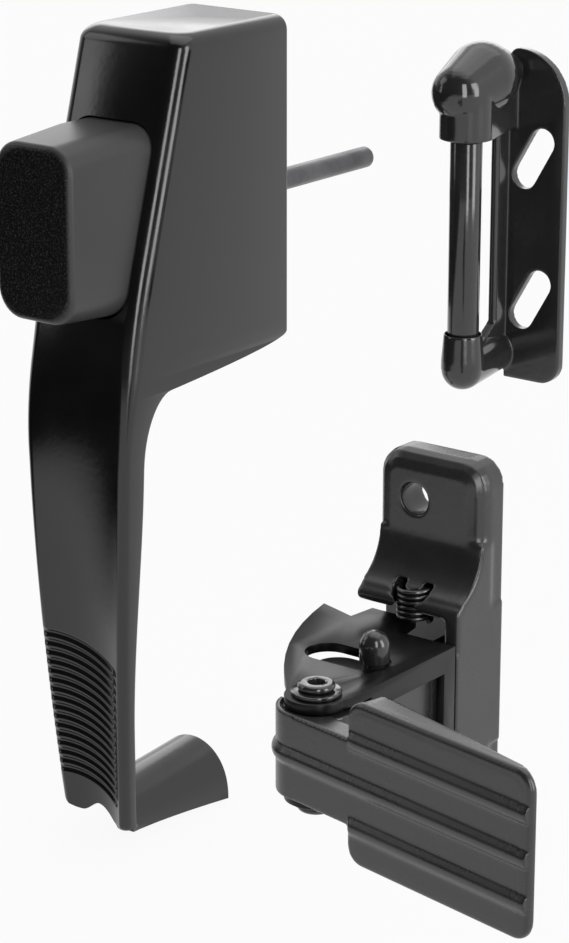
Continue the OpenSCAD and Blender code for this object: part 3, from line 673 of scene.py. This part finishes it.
def strike_arm():
    return hull("arm", ball(on_strike(ROLLER_X, -ROLLER_OUT, CUP_Z), ARM_R)
                + disc(on_strike(-LEAF_HALF - ARM_ROOT_LEFT, -LEAF_T, CUP_Z), ARM_ROOT_R, INWARD))


def strike_fillet():
    """The web between the flange and the lower arm."""
    return hull("fillet", [on_strike(x, y, z) for x in (FLANGE_LEFT, FLANGE_RIGHT) for y, z in FILLET_SIDE])


def strike_seat():
    return rod("seat", CUP_BORE_R, on_strike(ROLLER_X, -ROLLER_OUT, CUP_TOP - CUP_DEPTH),
               on_strike(ROLLER_X, -ROLLER_OUT, CUP_TOP + SEAT_RISE))


def strike_cup():
    low = CUP_Z - CUP_TOP
    profile = [(CUP_BORE_R, 0), (CUP_LIP_R, 0), (CUP_R, -CUP_LIP_DROP), (CUP_R, low),
               (CUP_AXLE_R, low), (CUP_AXLE_R, -CUP_DEPTH), (CUP_BORE_R, -CUP_DEPTH)]
    return lathe("cup", profile, UP, on_strike(ROLLER_X, -ROLLER_OUT, CUP_TOP))


def strike_bracket():
    """Stamped leaf with two slanted slots, a helmet over the roller's top and a cup under it."""
    body = combine(strike_leaf(), "DIFFERENCE", strike_slot(-SLOT_HALF), strike_slot(SLOT_HALF))
    combine(body, "UNION", strike_flange(), strike_helmet(), strike_skirt(), strike_arm(), strike_fillet())
    combine(body, "DIFFERENCE", strike_seat())
    combine(body, "UNION", strike_cup())
    return soften(body, 0.15, 5)


ROLLER_BORE_R, ROLLER_EDGE = 1.55, 0.3


def strike_roller():
    low, high = node_box("strike_roller")
    r = (high.x - low.x) / 2
    bore, edge, length = ROLLER_BORE_R, ROLLER_EDGE, high.z - low.z
    profile = [(bore, 0), (r - edge, 0), (r - edge * 0.3, edge * 0.3), (r, edge),
               (r, length - edge), (r - edge * 0.3, length - edge * 0.3), (r - edge, length), (bore, length)]
    return lathe("roller", profile, UP, ((low.x + high.x) / 2, (low.y + high.y) / 2, low.z), 72)


# The springs

def coil(node, axis, turns, wire, turn_steps=28, wire_steps=12):
    """A round wire wound in its node's box from end to end."""
    low, high = node_box(node)
    mid = (low + high) / 2
    along = 1 if axis == (0, 1, 0) else 2
    length = high[along] - low[along] - wire
    radius = max(high.x - low.x, high.z - low.z if along == 1 else high.y - low.y) / 2 - wire / 2
    base = Vector(mid)
    base[along] = low[along] + wire / 2
    turn = Vector((0, 0, 1)).rotation_difference(Vector(axis)).to_matrix()
    round_wire = [2 * math.pi * j / wire_steps for j in range(wire_steps)]
    rings = []
    for k in range(turns * turn_steps + 1):
        t = k / (turns * turn_steps)
        a = 2 * math.pi * turns * t
        out = Vector((math.cos(a), math.sin(a), 0))
        centre = out * radius + Vector((0, 0, length * t))
        section = [out * wire / 2 * math.cos(b) + Vector((0, 0, wire / 2 * math.sin(b))) for b in round_wire]
        rings.append([base + turn @ (centre + point) for point in section])
    return loft(node, rings)


# Materials: constants sit on the shader's own sockets, and nodes carry what varies over the surface

class Nodes:
    def __init__(self, tree):
        self.tree = tree
        tree.nodes.clear()

    def add(self, kind, inputs=None, **settings):
        node = self.tree.nodes.new(kind)
        for key, value in settings.items():
            setattr(node, key, value)
        for key, value in (inputs or {}).items():
            node.inputs[key].default_value = value
        return node

    def link(self, source, output, target, socket):
        self.tree.links.new(source.outputs[output], target.inputs[socket])

    def ramp(self, source, output, stops):
        node = self.add("ShaderNodeValToRGB")
        elements = node.color_ramp.elements
        while len(elements) < len(stops):
            elements.new(0.5)
        for element, (position, colour) in zip(elements, stops):
            element.position = position
            element.color = (*colour, 1) if isinstance(colour, tuple) else (colour, colour, colour, 1)
        self.link(source, output, node, "Fac")
        return node

    def noise(self, coords, scale, detail=3.0, roughness=0.55):
        node = self.add("ShaderNodeTexNoise", {"Scale": scale, "Detail": detail, "Roughness": roughness})
        self.link(coords, "Object", node, "Vector")
        return node

    def math(self, operation, a, b):
        node = self.add("ShaderNodeMath", operation=operation)
        for socket, value in enumerate((a, b)):
            if isinstance(value, tuple):
                self.link(value[0], value[1], node, socket)
            else:
                node.inputs[socket].default_value = value
        return node


def shader(name, **constants):
    material = bpy.data.materials.new(name)
    material.use_nodes = True
    nodes = Nodes(material.node_tree)
    out = nodes.add("ShaderNodeOutputMaterial")
    sockets = {key.replace("_", " "): value for key, value in constants.items()}
    bsdf = nodes.add("ShaderNodeBsdfPrincipled", sockets)
    nodes.link(bsdf, "BSDF", out, "Surface")
    return material, nodes, bsdf, nodes.add("ShaderNodeTexCoord")


def scaled(colour, factor):
    return tuple(c * factor for c in colour)


BLACK = (0.003, 0.003, 0.0031)
SATIN = (0.024, 0.024, 0.0245)
DARK_STEEL = (0.11, 0.11, 0.115)
SPRING_STEEL = (0.1, 0.1, 0.104)
BARE_METAL = (0.1, 0.1, 0.1, 1)
PAINT_IOR = 1.5
MIX_SHARE, MIX_A, MIX_B, MIX_RESULT = 0, 6, 7, 2


def black_paint(name, colour, rough, peel, peel_scale, coat=0.0, worn=0.0, specular=0.5):
    """Baked black paint: cloudy gloss, orange peel and, where asked, rubbed corners."""
    material, nodes, bsdf, coords = shader(name, Coat_Weight=coat, Coat_Roughness=0.08, IOR=PAINT_IOR,
                                           Specular_IOR_Level=specular)
    clouds = nodes.noise(coords, 60.0, 5.0, 0.6)
    tone = nodes.ramp(clouds, "Fac", [(0.3, scaled(colour, 0.75)), (0.7, scaled(colour, 1.3))])
    nodes.link(tone, "Color", bsdf, "Base Color")
    if worn:
        shape = nodes.add("ShaderNodeNewGeometry")
        corners = nodes.ramp(shape, "Pointiness", [(0.53, 0.0), (0.6, worn)])
        patchy = nodes.math("MULTIPLY", (corners, "Color"), (clouds, "Fac"))
        rubbed = nodes.add("ShaderNodeMix", data_type="RGBA")
        rubbed.inputs[MIX_B].default_value = BARE_METAL
        nodes.link(patchy, "Value", rubbed, MIX_SHARE)
        nodes.link(tone, "Color", rubbed, MIX_A)
        nodes.link(rubbed, MIX_RESULT, bsdf, "Base Color")
    gloss = nodes.ramp(clouds, "Fac", [(0.3, rough - 0.05), (0.7, rough + 0.05)])
    nodes.link(gloss, "Color", bsdf, "Roughness")
    skin = nodes.noise(coords, peel_scale, 2.0, 0.5)
    bump = nodes.add("ShaderNodeBump", {"Strength": 0.7, "Distance": peel})
    nodes.link(skin, "Fac", bump, "Height")
    nodes.link(bump, "Normal", bsdf, "Normal")
    return material


def button_paint(name, colour, flank_painted_light, rough):
    """Flecked, grainy black on the face that the thumb meets, and a lighter plain satin colour on the
    flanks; face and flanks are told apart by which way the surface faces, so the darker face is painted
    shade and the lighter flanks are painted light.
    """
    material, nodes, bsdf, coords = shader(name, IOR=PAINT_IOR, Specular_IOR_Level=0.36)
    shape = nodes.add("ShaderNodeNewGeometry")
    facing = nodes.add("ShaderNodeSeparateXYZ")
    nodes.link(shape, "Normal", facing, "Vector")
    on_face = nodes.ramp(nodes.math("MULTIPLY", (facing, "Y"), -1.0), "Value", [(0.8, 0.0), (0.97, 1.0)])
    grain = nodes.noise(coords, 2600.0, 2.0, 0.7)
    fleck = nodes.ramp(grain, "Fac", [(0.5, scaled(colour, 0.5)), (0.72, scaled(colour, 12.0))])
    # The face and flank colours are mixed by which way the surface faces: painted shade on the face, painted
    # light on the flanks.
    mix = nodes.add("ShaderNodeMix", data_type="RGBA")
    mix.inputs[MIX_A].default_value = (*flank_painted_light, 1)
    nodes.link(on_face, "Color", mix, MIX_SHARE)
    nodes.link(fleck, "Color", mix, MIX_B)
    nodes.link(mix, MIX_RESULT, bsdf, "Base Color")
    gloss = nodes.ramp(on_face, "Color", [(0.0, rough + 0.04), (1.0, rough)])
    nodes.link(gloss, "Color", bsdf, "Roughness")
    height = nodes.math("MULTIPLY", (grain, "Fac"), (on_face, "Color"))
    bump = nodes.add("ShaderNodeBump", {"Strength": 1.0, "Distance": 0.00003})
    nodes.link(height, "Value", bump, "Height")
    nodes.link(bump, "Normal", bsdf, "Normal")
    return material


def drawn_steel(name, colour, rough, along, line_scale=2400.0, along_scale=80.0):
    """Dark steel with fine lines along one axis over a cloudy oxide tone."""
    material, nodes, bsdf, coords = shader(name, Metallic=1.0)
    stretch = nodes.add("ShaderNodeMapping")
    scales = [along_scale if axis == along else line_scale for axis in range(3)]
    stretch.inputs["Scale"].default_value = scales
    nodes.link(coords, "Object", stretch, "Vector")
    lines = nodes.add("ShaderNodeTexNoise", {"Scale": 1.0, "Detail": 3.0})
    nodes.link(stretch, "Vector", lines, "Vector")
    clouds = nodes.noise(coords, 170.0, 4.0)
    tone = nodes.ramp(clouds, "Fac", [(0.3, scaled(colour, 0.7)), (0.7, scaled(colour, 1.3))])
    nodes.link(tone, "Color", bsdf, "Base Color")
    gloss = nodes.ramp(lines, "Fac", [(0.3, rough - 0.08), (0.7, rough + 0.08)])
    nodes.link(gloss, "Color", bsdf, "Roughness")
    bump = nodes.add("ShaderNodeBump", {"Strength": 0.5, "Distance": 0.00002})
    nodes.link(lines, "Fac", bump, "Height")
    nodes.link(bump, "Normal", bsdf, "Normal")
    return material


# Studio: white to the camera, bright behind and beside the object, dim in front of it

FLOOR_DROP, FLOOR_HALF = 0.0005, 4.0
FLOOR_GREY, FLOOR_GLOW = 0.55, 0.93
LAMPS_AIM = Vector((0.06, -0.06, -0.03))
LAMPS = {
    "top_soft": {"location": (0.0, 0.15, 1.1), "size": 1.2, "size_y": 1.2, "power": 3.5},
    "back_panel": {"location": (-0.64, 0.85, 0.4), "size": 1.1, "size_y": 0.5, "power": 2.2},
    "left_glow": {"location": (-0.86, -0.68, 0.2), "size": 0.22, "size_y": 0.4, "power": 0.5},
    "left_soft": {"location": (-0.75, -0.4, 0.55), "size": 0.4, "size_y": 0.4, "power": 0.7},
    "right_panel": {"location": (1.04, 0.06, 0.2), "size": 0.36, "size_y": 1.0, "power": 6.0},
    "right_strip": {"location": (0.8, -0.66, 0.25), "size": 0.26, "size_y": 1.0, "power": 5.0},
}
CAMERA_AT = (0.3179, -0.4006, 0.1075)
CAMERA_AZIMUTH, CAMERA_ELEVATION = math.radians(37.5), math.radians(17.5)
PHOTO_HEIGHT_PX, FOCAL_PX = 943.0, 3058.8


def brightness_along(nodes, vector_node, output, towards, near, far):
    """0 on the near side of the object, 1 on the side that the direction points to."""
    along = nodes.add("ShaderNodeVectorMath", operation="DOT_PRODUCT")
    nodes.link(vector_node, output, along, 0)
    along.inputs[1].default_value = towards
    spread = nodes.add("ShaderNodeMapRange", {"From Min": near, "From Max": far})
    nodes.link(along, "Value", spread, "Value")
    return spread


def world_light():
    world = bpy.data.worlds.new("studio")
    scene.world = world
    world.use_nodes = True
    nodes = Nodes(world.node_tree)
    out = nodes.add("ShaderNodeOutputWorld")
    path = nodes.add("ShaderNodeLightPath")
    coords = nodes.add("ShaderNodeTexCoord")
    depth = brightness_along(nodes, coords, "Generated", (0, 1, 0), -0.4, 0.3)
    room_tone = nodes.ramp(depth, "Result", [(0.0, 0.025), (0.4, 0.2), (1.0, 1.0)])
    room = nodes.add("ShaderNodeBackground", {"Strength": 1.0})
    nodes.link(room_tone, "Color", room, "Color")
    white = nodes.add("ShaderNodeBackground", {"Color": (1, 1, 1, 1), "Strength": 1.0})
    mirrored = nodes.math("MULTIPLY", (path, "Is Glossy Ray"), (room_tone, "Color"))
    seen = nodes.math("MAXIMUM", (path, "Is Camera Ray"), (mirrored, "Value"))
    mix = nodes.add("ShaderNodeMixShader")
    nodes.link(seen, "Value", mix, "Fac")
    nodes.link(room, "Background", mix, 1)
    nodes.link(white, "Background", mix, 2)
    nodes.link(mix, "Shader", out, "Surface")


def floor_white():
    """Matt and nearly white; to glossy rays it is bright beside and behind the object and dark in front."""
    material = bpy.data.materials.new("floor_white")
    material.use_nodes = True
    nodes = Nodes(material.node_tree)
    out = nodes.add("ShaderNodeOutputMaterial")
    path = nodes.add("ShaderNodeLightPath")
    place = nodes.add("ShaderNodeNewGeometry")
    matt = nodes.add("ShaderNodeBsdfDiffuse", {"Color": (FLOOR_GREY, FLOOR_GREY, FLOOR_GREY, 1)})
    glow = nodes.add("ShaderNodeEmission", {"Color": (1, 1, 1, 1), "Strength": 1.0})
    beside = brightness_along(nodes, place, "Position", (1, 0, 0), -0.14, -0.085)
    behind = brightness_along(nodes, place, "Position", (0, 1, 0), -0.12, 0.0)
    bright = nodes.math("MAXIMUM", (beside, "Result"), (behind, "Result"))
    mirror_tone = nodes.ramp(bright, "Value", [(0.0, 0.03), (1.0, 1.0)])
    mirrored = nodes.add("ShaderNodeEmission", {"Strength": 1.0})
    nodes.link(mirror_tone, "Color", mirrored, "Color")
    direct = nodes.math("MULTIPLY", (path, "Is Camera Ray"), FLOOR_GLOW)
    seen = nodes.add("ShaderNodeMixShader")
    nodes.link(direct, "Value", seen, "Fac")
    nodes.link(matt, "BSDF", seen, 1)
    nodes.link(glow, "Emission", seen, 2)
    either = nodes.add("ShaderNodeMixShader")
    nodes.link(path, "Is Glossy Ray", either, "Fac")
    nodes.link(seen, "Shader", either, 1)
    nodes.link(mirrored, "Emission", either, 2)
    nodes.link(either, "Shader", out, "Surface")
    return material


def floor():
    bm = bmesh.new()
    bmesh.ops.create_grid(bm, x_segments=2, y_segments=2, size=FLOOR_HALF)
    mesh = bpy.data.meshes.new("floor")
    bm.to_mesh(mesh)
    bm.free()
    obj = new_object("floor", mesh)
    obj.location = (0.0, 0.0, cad_box[0][2] - FLOOR_DROP)
    mesh.materials.append(floor_white())


def lamp(name, location, size, size_y, power):
    data = bpy.data.lights.new(name, "AREA")
    data.shape = "RECTANGLE"
    data.size = size
    data.size_y = size_y
    data.energy = power
    obj = bpy.data.objects.new(name, data)
    obj.location = location
    obj.rotation_euler = (LAMPS_AIM - Vector(location)).to_track_quat("-Z", "Y").to_euler()
    scene.collection.objects.link(obj)


def camera():
    data = bpy.data.cameras.new("photo_camera")
    obj = bpy.data.objects.new("photo_camera", data)
    scene.collection.objects.link(obj)
    level = math.cos(CAMERA_ELEVATION)
    back = Vector((math.sin(CAMERA_AZIMUTH) * level, -math.cos(CAMERA_AZIMUTH) * level,
                   math.sin(CAMERA_ELEVATION)))
    obj.location = CAMERA_AT
    obj.rotation_euler = (-back).to_track_quat("-Z", "Y").to_euler()
    data.sensor_fit = "VERTICAL"
    data.sensor_height = 36.0
    data.lens = FOCAL_PX / PHOTO_HEIGHT_PX * data.sensor_height
    data.clip_start = 0.01
    data.clip_end = 50.0
    scene.camera = obj


camera()
world_light()
floor()
for lamp_name, settings in LAMPS.items():
    lamp(lamp_name, **settings)

# The finished pieces

cast_paint = black_paint("cast_paint", BLACK, rough=0.17, peel=0.000015, peel_scale=900.0, specular=0.62)
latch_paint = black_paint("latch_paint", scaled(SATIN, 0.8), rough=0.27, peel=0.00002, peel_scale=1100.0,
                          specular=0.62)
bolt_paint = black_paint("bolt_paint", scaled(SATIN, 0.12), rough=0.34, peel=0.00002, peel_scale=800.0,
                         worn=0.3, specular=0.2)
sheet_paint = black_paint("sheet_paint", scaled(SATIN, 0.75), rough=0.17, peel=0.00002, peel_scale=900.0,
                          coat=0.25, specular=0.55)
# The button's flanks get a lighter colour than its face, as painted light.
button_paint_painted_light = button_paint("button_paint", BLACK, flank_painted_light=scaled(SATIN, 1.6), rough=0.33)
rod_steel = drawn_steel("dark_steel", DARK_STEEL, rough=0.36, along=1)
wire_steel = drawn_steel("spring_steel", SPRING_STEEL, rough=0.34, along=2)

dress(handle_casting(), "handle_casting", cast_paint, CAST_CREASE)
dress(push_button(), "push_button", button_paint_painted_light, SHEET_CREASE)
dress(push_rod(), "push_rod", rod_steel)
button_spring = dress(coil("button_spring", (0, 1, 0), turns=7, wire=0.9), "button_spring", wire_steel)
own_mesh(button_spring)
dress(coil("bolt_spring", (0, 0, 1), turns=6, wire=0.66), "bolt_spring", wire_steel)
dress(latch_base(), "latch_base", latch_paint, NO_CREASE)
dress(lever(), "lever", latch_paint, NO_CREASE)
dress(strike_bracket(), "strike_bracket", sheet_paint, NO_CREASE)
dress(pressed("latch_bolt", 0.18), "latch_bolt", bolt_paint, SHEET_CREASE)
for node in ("lock_pin", "pivot_rivet", "pivot_washers"):
    dress(pressed(node, 0.1), node, sheet_paint, SHEET_CREASE)
dress(strike_roller(), "strike_roller", sheet_paint)

for node, material in {"guide_plate": rod_steel, "rod_clip": wire_steel, "lock_slide": bolt_paint,
                       "roller_axle": rod_steel}.items():
    mesh = frame["nodes"][node].data
    mesh.materials.clear()
    mesh.materials.append(material)
